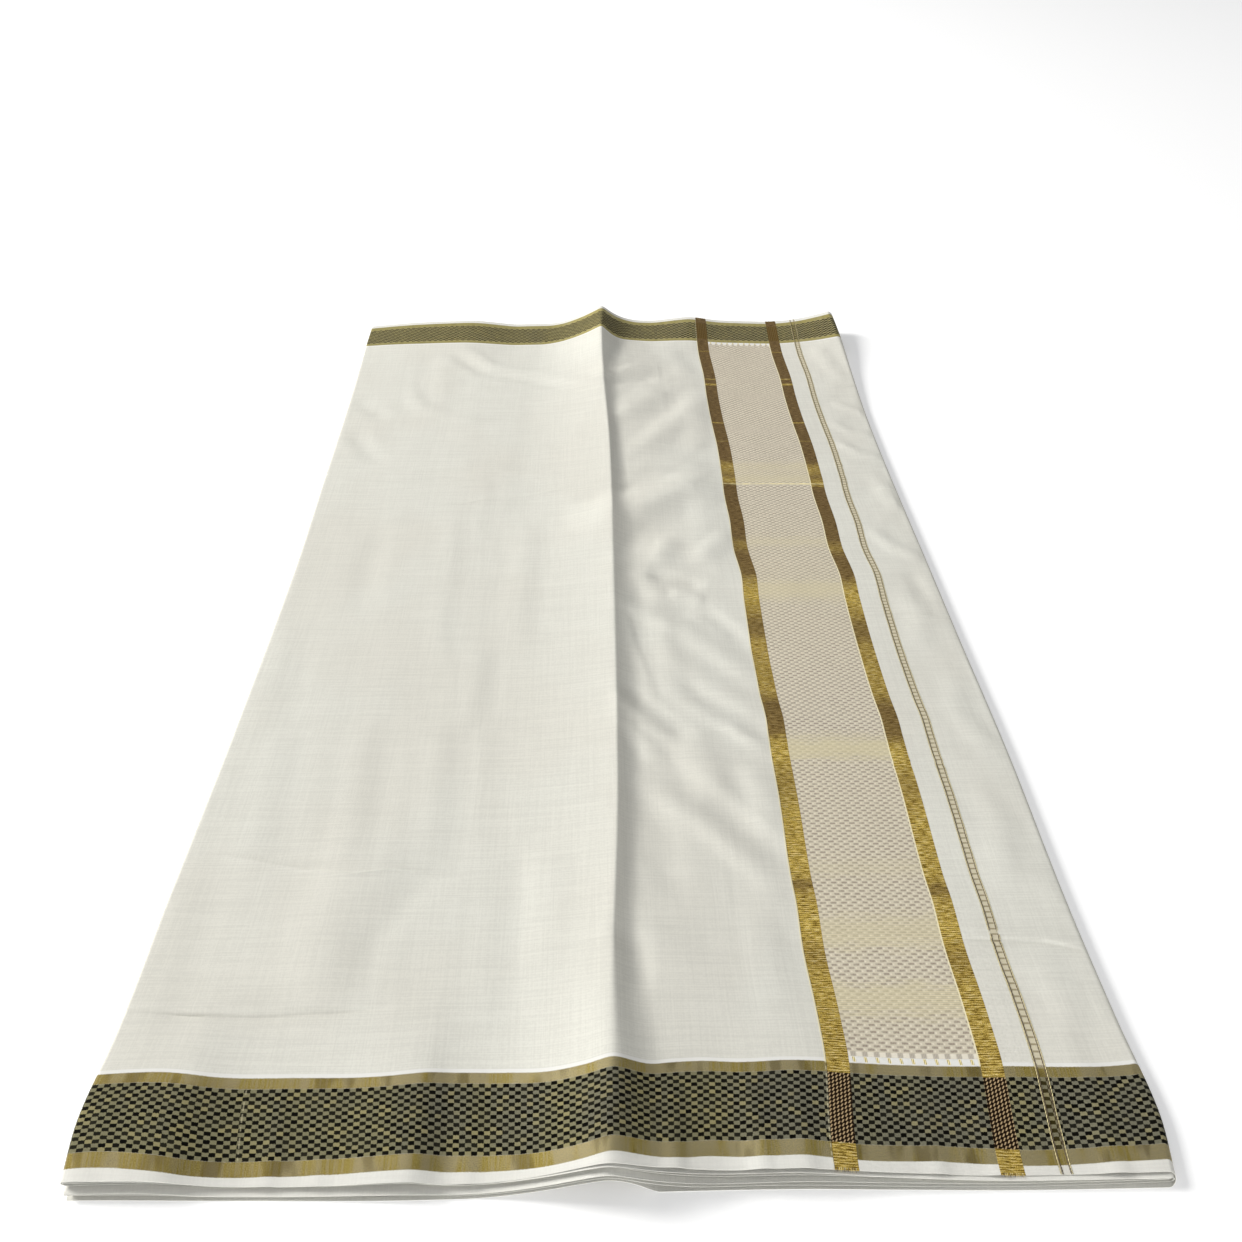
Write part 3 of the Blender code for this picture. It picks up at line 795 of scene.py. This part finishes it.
def borderWeave(nodes):
    # the plain ground with the woven border: white margin, gold strip, checks, gold strip and line
    u, v, inward = nodes.u, nodes.v, nodes.inward
    raggedU = nodes.speckle(1.9, 1.9, 1.0, 2.0)
    raggedV = nodes.speckle(1.1, 1.9, 1.0, 7.0)
    deep = inward + (raggedV - 0.5)
    far = v.ramp(-1.0, 1.0)  # painted sheen: the far border's gold and checks are painted brighter

    start, stop = weave["checks"]
    row = ((deep - start) / ((stop - start) / weave["cellRows"])).whole()
    step = ((u + (raggedU - 0.5) * 1.3) / weave["cellLong"]).whole()
    dark = ((row + step) * 0.5).part().ramp(0.2, 0.3)
    each = nodes.chance(row, step, 3.0)
    # painted shade: the checks turn greyer in broad patches along the cloth and toward its right
    checkShade = nodes.speckle(0.03, 0.006, 2.0, 4.0) + u * 0.0004
    checks = nodes.mix(
        "checkLight",
        (checkShade.ramp(0.36, 0.64), "checkGrey"),
        (each.ramp(0.6, 1.0, 0.0, 0.3), "goldBright"),
        (raggedU.ramp(0.45, 0.7, 0.0, 0.5), "checkPale"),
        (far * 0.35, "goldBright"),
        (dark * each.ramp(0.0, 1.0, 0.93, 1.0), "checkDark"),
    )

    streaks = nodes.speckle(0.8, 0.05, 3.0, 6.0)
    grain = nodes.speckle(2.2, 2.2, 1.0, 16.0)
    # painted shade: darker brown patches along the gold strips
    shadePatches = nodes.speckle(0.07, 0.02, 2.0, 61.0)
    # partly tarnish, partly painted glints: the yellow patches stand for where the gold catches the
    # light, and the far border is painted less grey as sheen
    tarnishAndGlints = nodes.speckle(0.045, 0.01, 2.0, 8.0) + u * 0.0001 - far * 0.1
    gold = nodes.mix(
        "goldYellow",
        (tarnishAndGlints.ramp(0.45, 0.56), "goldGrey"),
        (streaks.ramp(0.4, 0.62, 0.0, 0.7), "goldGrey"),
        (grain.ramp(0.5, 0.66, 0.0, 0.75), "goldBright"),
        (grain.ramp(0.34, 0.48, 0.55, 0.0), "goldDeep"),
        (shadePatches.ramp(0.52, 0.66, 0.0, 0.5), "goldDeep"),
        # painted shade: the gold darkens toward the left end
        (u.ramp(-345.0, 60.0, 0.36, 0.0), "goldDeep"),
        (far * 0.4, "goldFar"),
    )

    strips = deep.between(*weave["goldOuter"], 0.3) + deep.between(*weave["goldInner"], 0.3)
    inChecks = deep.between(start, stop)
    lineAt = weave["goldInner"][1]
    colour = nodes.mix(
        plainGround(nodes),
        (inward.between(lineAt + 0.2, lineAt + 2.6) * 0.85, "whiteLine"),
        (inward.between(-5.0, weave["goldOuter"][0]) * 0.4, "whiteLine"),
        (strips, gold),
        (inChecks, checks),
    )
    return colour, strips, inChecks


def finishCloth(nodes, colour, metal, relief):
    # plain-weave threads and the weave's relief as bump, and the gold thread's gloss
    threads = nodes.v.wave(weave["threadPitch"]) * nodes.u.wave(weave["threadPitch"])
    fuzz = nodes.speckle(1.6, 1.6, 3.0, 12.0)
    height = threads * 0.3 + (fuzz + relief)
    sockets = {
        "Normal": nodes.add("ShaderNodeBump", {"Strength": 0.5, "Distance": 0.00025, "Height": height}),
        "Base Color": colour,
        "Metallic": metal * 0.45,
        "Roughness": metal.ramp(0.0, 1.0, 0.85, 0.5),
        "Specular IOR Level": 0.045,
        "Sheen Weight": 0.015,
        "Sheen Roughness": 0.5,
    }
    for name, value in sockets.items():
        nodes.feed(nodes.shader.inputs[name], value)
    return nodes.material


def plainCloth(name, withLadder=False, onTop=False):
    nodes = ClothNodes(name)
    nodes.measure()
    u, v, inward = nodes.u, nodes.v, nodes.inward
    colour, strips, inChecks = borderWeave(nodes)
    if onTop:
        # the bright thread beside the first band, and one weft line that was started in the near
        # border
        pastBorder = inward.ramp(*weave["pastBorder"])
        edge = u.between(weave["firstBand"][0] - 1.2, 400.0, 0.1)
        beads = v.wave(weave["besideBand"]).ramp(-0.3, 0.3, 0.05, 0.45).atLeast(pastBorder)
        started = u.between(*weave["startedWeft"], 0.1) * v.ramp(*weave["startedTo"], 1.0, 0.0)
        broken = nodes.speckle(0.1, 0.35, 1.0, 51.0).ramp(0.44, 0.52)
        colour = nodes.mix(
            colour,
            (edge * beads, "edgeThread"),
            (started * (broken * inChecks) * 0.28, "edgeThread"),
        )
    if withLadder:
        pastBorder = inward.ramp(*weave["pastBorder"])
        cells = u.between(*weave["ladderCells"], 0.2)
        rung = (v / weave["rungPitch"]).part().between(0.36, 0.64, 0.06) * u.between(*weave["rungs"], 0.3)
        colour = nodes.mix(
            colour,
            (cells * (pastBorder * 0.95), nodes.mix("ladderCream", (rung * 0.9, "ladderRung"))),
            (cells * (1.0 - pastBorder) * 0.12, "goldYellow"),
        )
    return finishCloth(nodes, colour, strips, inChecks * 0.4)


def palluCloth(name):
    # the end panel: brocade between two gold bands, both running into the borders
    nodes = ClothNodes(name)
    nodes.measure()
    u, v, inward = nodes.u, nodes.v, nodes.inward
    colour, strips, inChecks = borderWeave(nodes)
    bodyPart = inward.ramp(*weave["bodyFrom"])
    panelStart, panelStop = weave["firstBand"][1], weave["secondBand"][0]
    panel = u.between(panelStart, panelStop, 0.2)

    # brocade: short dark marks in brick order on cream, with painted highlights on the cream, covered in
    # places by yellow weft painted bright where the cloth catches the light
    waver = nodes.speckle(0.35, 0.35, 2.0, 21.0)
    across = (u + waver * 2.2) / weave["markLong"]
    rows = (v + waver * 0.9) / weave["markRow"]
    rowNumber = rows.whole()
    brick = (across + rowNumber * 0.5).part()
    inRow = rows.part()
    ribs = u.wave(weave["rib"])
    mark = brick.between(0.24, 0.76, 0.07) * inRow.between(0.16, 0.8, 0.14)
    mark = mark * ribs.ramp(-1.0, 0.6, 0.62, 1.0)
    mark = mark * nodes.chance(rowNumber, (across * 2.0).whole(), 23.0).ramp(0.0, 0.5, 0.7, 1.0)
    ragged = nodes.speckle(0.05, 0.4, 2.0, 31.0)
    yellowSheen = nodes.profile(v + (ragged - 0.5) * 30.0, weave["yellowSheen"])
    lines = (v + waver * 0.8).wave(weave["yellowPitch"])
    highlight = brick.between(0.84, 0.98, 0.05) * inRow.between(0.2, 0.7, 0.15)
    brocade = nodes.mix(
        "brocadeCream",
        (highlight * 0.8, "brocadeLight"),
        (mark * yellowSheen.ramp(0.0, 1.0, 0.95, 0.5), "brocadeMark"),
        (yellowSheen * 0.55, nodes.mix("yellowDeep", (lines.ramp(-0.6, 0.6), "yellowWeft"))),
    )

    # where the panel meets each border: white blocks with gold ticks between, then dark blocks
    eighth = ((u - panelStart) / weave["markLong"]).part()
    leaning = eighth + (inward - weave["ticksMiddle"]) * 0.02
    tick = leaning.between(0.32, 0.56, 0.06) * inward.between(*weave["ticks"], 0.4)
    gilt = nodes.mix("bandDeep", (ribs.ramp(-0.9, 0.0), "bandPale"))
    block = eighth.between(0.22, 0.68, 0.07) * ribs.ramp(-1.0, 0.6, 0.6, 1.0)
    blocks = nodes.mix("brocadeLight", (block * 0.7, "brocadeMark"))
    whiteFrom, darkFrom, darkTo = weave["panelEnds"]
    colour = nodes.mix(
        colour,
        (panel * bodyPart, brocade),
        (inward.between(whiteFrom, darkFrom, 0.3) * panel, nodes.mix("whiteLine", (tick, gilt))),
        (inward.between(darkFrom, darkTo, 0.3) * panel, blocks),
    )

    # gold bands of metal thread, bright where they catch the light
    second = u.between(*weave["secondBand"], 0.12)
    bands = u.between(*weave["firstBand"], 0.12) + second
    uneven = nodes.speckle(0.1, 0.3, 2.0, 47.0)
    shine = nodes.profile(v + (uneven - 0.5) * 22.0 + second * 6.0, weave["shine"])
    for place, width, strength in weave["glintWefts"]:
        shine = shine.atLeast((v + waver * 1.2).between(place - width, place + width, 0.5) * strength)
    lengths = nodes.speckle(0.16, 1.15, 1.0, 41.0)
    grain = nodes.speckle(1.5, 1.9, 1.0, 43.0)
    sparkle = lengths * 0.55 + grain * 0.45 + (v + lengths).wave(weave["goldPitch"]) * 0.05
    bright = nodes.mix(
        "bandDeep",
        (sparkle.ramp(0.38, 0.56), "bandBright"),
        (sparkle.ramp(0.55, 0.66, 0.0, 0.9), "bandPale"),
    )
    gold = nodes.mix(nodes.mix("bandBrownDark", (sparkle.ramp(0.4, 0.6), "bandBrown")), (shine, bright))

    # scales where the bands cross the checks, darkened on the far side as painted shade
    column = (u - weave["scaleFrom"]) / weave["scaleLong"]
    link = (v / weave["scaleWide"] + column.whole() * 0.5 + grain * 0.25).part()
    sideways = column.part() - (link - 0.5) * 0.55
    pale = sideways.between(0.34, 0.7, 0.12) * link.between(0.12, 0.86, 0.12)
    scales = nodes.mix("scaleDark", (pale, "scalePale"), (v.ramp(-1.0, 1.0, 0.0, 0.75), "bandDeep"))

    # a painted glint along one weft that crosses the whole panel, and the thread line before the second
    # band
    glintLine = (v + ragged * 3.0).between(*weave["glintingWeft"], 0.5) * (bands + panel)
    broken = nodes.speckle(0.12, 0.4, 2.0, 63.0).ramp(0.38, 0.58, 0.3, 0.95)
    threadLine = u.between(panelStop - 0.9, panelStop, 0.1)
    colour = nodes.mix(
        colour,
        (bands, nodes.mix(gold, (inward.between(*weave["checks"], 0.3), scales))),
        (glintLine * broken, "bandPale"),
        (threadLine * bodyPart, "edgeThread"),
    )
    metal = strips * (1.0 - bands) + bands * 0.8
    return finishCloth(nodes, colour, metal, mark * -1.0 + sparkle * (bands * 3.0))


def threadLook(name, colour):
    nodes = ClothNodes(name)
    place = nodes.add("ShaderNodeTexCoord", output="Object")
    spots = nodes.add("ShaderNodeTexNoise", {"Vector": place, "Scale": 900.0})
    spotted = nodes.mix(colour, (spots.ramp(0.4, 0.7, 0.0, 0.5), "threadSpots"))
    nodes.feed(nodes.shader.inputs["Base Color"], spotted)
    setInputs(nodes.shader, {"Metallic": 0.2, "Roughness": 0.45})
    return nodes.material


bodyLook = plainCloth("bodyCloth", onTop=True)
palluLook = palluCloth("palluCloth")
wrappedLook = plainCloth("wrappedCloth", withLadder=True)
innerLook = plainCloth("innerCloth")
goldThread = threadLook("goldThread", "threadGold")
darkThread = threadLook("darkThread", "threadDark")
print("weaves drawn")


# Sheets of cloth

def makeSheet(name, stretches, offset, look):
    # stretches are blocks of points along the cloth, each with x, y, z, u and v by column and row
    x, y, z, u, v = (np.concatenate(parts) for parts in zip(*stretches))
    columns, rows = x.shape
    surface = bmesh.new()
    bmesh.ops.create_grid(surface, x_segments=columns - 1, y_segments=rows - 1, size=1)
    stations = []
    for point in surface.verts:
        i = round((point.co.x + 1) / 2 * (columns - 1))
        j = round((point.co.y + 1) / 2 * (rows - 1))
        point.co = (x[i, j], y[i, j], z[i, j])
        stations.append((i, j))
    surface.verts.index_update()
    clothMap = surface.loops.layers.uv.new("cloth")
    for face in surface.faces:
        face.smooth = True
        for corner in face.loops:
            i, j = stations[corner.vert.index]
            corner[clothMap].uv = (u[i, j], v[i, j])
    sheet = addMesh(name, surface, [look])
    wall = sheet.modifiers.new("wall", "SOLIDIFY")
    wall.thickness = fold["wall"]
    wall.offset = offset
    bpy.context.view_layer.update()
    walled = bpy.data.meshes.new_from_object(sheet.evaluated_get(bpy.context.evaluated_depsgraph_get()))
    sheet.modifiers.clear()
    sheet.data = walled
    walled.set_sharp_from_angle(angle=radians(40))
    print(name, "made,", len(walled.polygons) * 2, "triangles")
    return sheet


rows = clusteredRows(0.0056, 0.0013)


def topStretch(places):
    v = guideRows(places, rows)
    u = np.repeat(places[:, None], len(rows), axis=1)
    return (*topLeaf(u, v), u, v)


def turnAngles(steps):
    return np.linspace(0, pi, steps + 1)[:, None]


# the body: under the left fold, round it, and over the ridge to the first gold band
bodyTop = topStretch(columnsOf([
    (-0.34, -0.12, 0.0052), (-0.12, -0.024, 0.004), (-0.024, -0.016, 0.002),
    (-0.016, 0.01, 0.001), (0.01, 0.03, 0.002), (0.03, fold["bandAt"] - halfSeam, 0.0028),
]))
v = bodyTop[4][:1]
edge = readTable(sides, "left", v)
radius = stackThickness(edge, v) / 4
middle = edge + radius
angle = turnAngles(8)[::-1]
noseX = middle - radius * np.sin(angle)
noseV = v + 0 * angle
noseY = layAcross(noseX, noseV, halfSlip)
crown = stackLift(middle, noseY) + stackThickness(middle, noseY) + creaseHeight(middle + 0 * noseY, noseY)
noseZ = crown - radius + radius * np.cos(angle)
noseU = -half + radius - radius * angle
tuck = fold["tuck"] * np.array([[1.0], [0.5]])
tuckX = middle + tuck
tuckV = v + 0 * tuck
tuckY = layAcross(tuckX, tuckV, halfSlip)
tuckZ = stackLift(middle, tuckY) + stackThickness(middle, tuckY) - 2 * radius
tucked = (tuckX, tuckY, tuckZ, noseU[0] - tuck, tuckV)
bodyStretch = makeSheet(
    "bodyStretch", [tucked, (noseX, noseY, noseZ, noseU, noseV), bodyTop], -1, bodyLook,
)

# the end panel, between the first gold band and the ladder line
palluTop = topStretch(columnsOf([
    (fold["bandAt"] + halfSeam, fold["ladderAt"] - halfSeam, 0.003),
]))
palluStretch = makeSheet("palluStretch", [palluTop], -1, palluLook)

# from the ladder line round the big right fold, and back as the bottom leaf
wrapTop = topStretch(columnsOf([(fold["ladderAt"] + halfSeam, 0.337, 0.003)]))
v = wrapTop[4][-1:]
edge = readTable(sides, "right", v)
radius = stackThickness(edge, v) / 2
middle = edge - radius
angle = turnAngles(16)
noseX = middle + radius * np.sin(angle)
noseV = v + 0 * angle
noseY = layAcross(noseX, noseV, halfSlip * np.cos(angle))
noseZ = stackLift(middle, noseY) + radius + radius * np.cos(angle)
noseU = half - radius + radius * angle
underPlaces = columnsOf([
    (-half + fold["lowerIn"], -0.12, 0.017), (-0.12, -0.02, 0.009), (-0.02, 0.03, 0.004),
    (0.03, 0.09, 0.0085), (0.09, 0.337, 0.016),
])[::-1]
sag = {"at": [-0.02, 0.004, 0.02, 0.045, 0.07, 0.095], "drop": [0.0, 0.0, 0.006, 0.006, 0.003, 0.0]}
underU, underV = np.meshgrid(underPlaces, v[0], indexing="ij")
underX = layAlong(underU, underV)
underY = layAcross(underX, underV, -halfSlip)
droop = readTable(sag, "drop", underX) * fade(underV + clothHalf, 0.045)
underZ = np.maximum(stackLift(underX, underY) - droop, 0)
under = (underX, underY, underZ, noseU[-1] + half - underU, underV)
wrappedStretch = makeSheet(
    "wrappedStretch", [wrapTop, (noseX, noseY, noseZ, noseU, noseV), under], -1, wrappedLook,
)

# the six leaves between, as one length of cloth that goes to and fro
leaves = {
    "share": {6: 0.84, 5: 0.68, 4: 0.535, 3: 0.44, 2: 0.3, 1: 0.15},  # of the stack's thickness
    "step": 0.0115,
    "besideRidge": [-0.016, -0.012, -0.009, -0.006, -0.003, 0.0, 0.003, 0.006, 0.01, 0.015, 0.021],
    "flatter": 0.4,       # how much flatter they lie away from the edges
    "endReach": 0.045,
    "sideReach": 0.03,
    "waver": 0.0006,
    "waverReach": 0.05,
    "startsAt": -6.0,     # along the cloth, well clear of the bands
}
innerRows = np.unique(np.concatenate([
    np.linspace(-clothHalf, clothHalf, 81), np.linspace(-clothHalf, 0.03 - clothHalf, 9),
    np.linspace(clothHalf - 0.03, clothHalf, 9),
]).round(7))


def leafShift(leaf, x):
    return halfSlip - readTable(leafOut, leaf, x) * mm


def leafWaver(leaf, x, v):
    # near and far, the leaves' edges lie a little unevenly on each other
    reach = leaves["waverReach"]
    edgeways = np.maximum(fade(v + clothHalf, reach), fade(clothHalf - v, reach))
    return noiseAt(x * 17, leaf * 3.7, v * 3) * leaves["waver"] * edgeways


def leafStretch(leaf, start, stop):
    # one leaf, between places measured in from the left and right folds
    places = np.linspace(-half + start, half - stop, round(2 * half / leaves["step"]) + 1)
    places = np.unique(np.concatenate([places, leaves["besideRidge"]]).round(7))
    x, v = np.meshgrid(places, innerRows, indexing="ij")
    px = layAlong(x, v)
    py = layAcross(px, v, leafShift(leaf, px))
    # away from the edges they lie flatter, clear of the top leaf's creases
    fromEnds = 1 - fade(clothHalf - abs(v), leaves["endReach"])
    inside = fromEnds * (1 - fade(half - abs(x), leaves["sideReach"]))
    height = leaves["share"][leaf] * stackThickness(px, py) * (1 - leaves["flatter"] * inside)
    return px, py, stackLift(px, py) + height + leafWaver(leaf, px, v), x, v


def foldStretch(upper, lower, tip, onRight):
    # the turn between two leaves, its nose tip in from the stack's edge
    v = innerRows[None, :]
    edge = readTable(sides, "right" if onRight else "left", v)
    thick = stackThickness(edge, v)
    high, low = leaves["share"][upper], leaves["share"][lower]
    radius = (high - low) / 2 * thick
    centre = (high + low) / 2 * thick
    angle = turnAngles(8)[1:-1]
    way = 1 if onRight else -1
    middle = edge - way * (tip + radius)
    x = middle + way * radius * np.sin(angle)
    across = v + 0 * angle
    part = angle / pi
    shift = leafShift(upper, x) * (1 - part) + leafShift(lower, x) * part
    y = layAcross(x, across, shift)
    z = stackLift(middle, y) + centre + radius * np.cos(angle)
    return x, y, z, radius * angle, across


def reversedStretch(stretch):
    return tuple(part[::-1] for part in stretch)


innerPath = [
    leafStretch(4, 0.0056, 0.005),
    foldStretch(4, 3, 0.0045, True),
    reversedStretch(leafStretch(3, 0.0027, 0.005)),
    foldStretch(3, 2, 0.002, False),
    leafStretch(2, 0.0027, 0.0046),
    reversedStretch(foldStretch(5, 2, 0.0028, True)),
    reversedStretch(leafStretch(5, 0.0018, 0.0046)),
    reversedStretch(foldStretch(6, 5, 0.001, False)),
    leafStretch(6, 0.0018, 0.0046),
    foldStretch(6, 1, 0.0014, True),
    reversedStretch(leafStretch(1, 0.0035, 0.0046)),
]
# how far along the cloth each column lies, measured on the middle row
joined = [np.concatenate(parts) for parts in zip(*innerPath)]
centreRow = len(innerRows) // 2
steps = np.hypot(np.diff(joined[0][:, centreRow]), np.diff(joined[2][:, centreRow]))
lengthAlong = leaves["startsAt"] + np.concatenate([[0], np.cumsum(steps)])
joined[3] = np.repeat(lengthAlong[:, None], len(innerRows), axis=1)
innerLeaves = makeSheet("innerLeaves", [tuple(joined)], 0, innerLook)


# Raised threads

ladder = {
    "rows": 2000,
    "around": 5,
    "bead": 2.45,        # one bead, in millimetres across the cloth
    "waist": 0.72,       # a bead's mean size, and the rest is its swell
    "wander": (0.1, 0.21),  # how far, and how often
    "twist": 0.12,
    "lift": 0.08,
    "threads": [
        # place along the cloth, radius and material, two threads to a line
        (275.15, 0.38, "pale"), (276.05, 0.42, "dark"), (281.05, 0.42, "dark"), (281.95, 0.38, "pale"),
    ],
}
frays = {
    "bands": [(136.0, 149.2), (240.0, 253.0)],
    "each": 11,
    "inside": 1.6,
    "longest": 2.2,
    "radius": 0.2,
    "lift": 0.1,
    "curl": 0.3,
}


def ontoCloth(x, v, lift):
    # points on the top leaf for places given in millimetres along and across the cloth
    px, py, pz = topLeaf(np.array(x)[None, :] * mm, np.array(v)[None, :] * mm)
    return np.stack([px[0], py[0], pz[0] + lift * mm], axis=1)


def addThread(shape, centres, radii, around, slot):
    # a round thread through these points, with its size at each
    along = np.gradient(centres, axis=0)
    along /= np.linalg.norm(along, axis=1)[:, None]
    side = np.cross(along, (0, 0, 1))
    side /= np.linalg.norm(side, axis=1)[:, None]
    up = np.cross(side, along)
    count = len(centres)
    made = bmesh.ops.create_grid(shape, x_segments=count - 1, y_segments=around, size=1)["verts"]
    for point in made:
        i = round((point.co.x + 1) / 2 * (count - 1))
        turn = (point.co.y + 1) * pi
        point.co = centres[i] + radii[i] * (np.cos(turn) * side[i] + np.sin(turn) * up[i])
    for face in {face for point in made for face in point.link_faces}:
        face.material_index = slot
        face.smooth = True


def makeThreads(name, shape):
    bmesh.ops.remove_doubles(shape, verts=shape.verts, dist=0.000005)
    print(name, "made")
    return addMesh(name, shape, [goldThread, darkThread])


cords = bmesh.new()
across = np.linspace(-599.6, 599.6, ladder["rows"])
for number, (place, radius, tone) in enumerate(ladder["threads"]):
    phase = 2 * pi * (across / ladder["bead"] + number * 0.5)
    amount, often = ladder["wander"]
    wander = amount * np.sin(across * often + number) + ladder["twist"] * np.sin(phase)
    swell = radius * (ladder["waist"] + (1 - ladder["waist"]) * np.cos(phase))
    centres = ontoCloth(place + wander, across, ladder["lift"])
    addThread(cords, centres, swell * mm, ladder["around"], 0 if tone == "pale" else 1)
ladderThreads = makeThreads("ladderThreads", cords)

fringe = bmesh.new()
for start, stop in frays["bands"]:
    for edgeway in (-1, 1):
        for number in range(frays["each"]):
            wild = noise.noise(Vector((start, edgeway * 5.3, number * 1.7)))
            out = frays["longest"] * (0.55 + 0.45 * wild)
            place = start + (stop - start) * (number + 0.5) / frays["each"] + wild
            reach = np.linspace(0, 1, 5)
            v = edgeway * (clothHalf / mm - frays["inside"] + frays["inside"] * reach)
            centres = ontoCloth(place + wild * reach ** 2, v, frays["lift"])
            centres[:, 1] += edgeway * out * mm * reach ** 2
            centres[:, 2] += frays["curl"] * mm * wild * reach
            radii = frays["radius"] * mm * (1 - 0.4 * reach)
            addThread(fringe, centres, radii, 4, 0 if number % 3 else 1)
bandEnds = makeThreads("bandEnds", fringe)


# What each piece stands for

dressing = [
    (bodyStretch, "body_stretch", "body_cloth"),
    (palluStretch, "pallu_stretch", "pallu_cloth"),
    (wrappedStretch, "wrapped_stretch", "wrapped_cloth"),
    (innerLeaves, "inner_layers", "inner_cloth"),
    (ladderThreads, None, "wrapped_cloth"),
    (bandEnds, None, "pallu_cloth"),
]
for piece, node, slot in dressing:
    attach(piece, "root")
    if node:
        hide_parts(node)
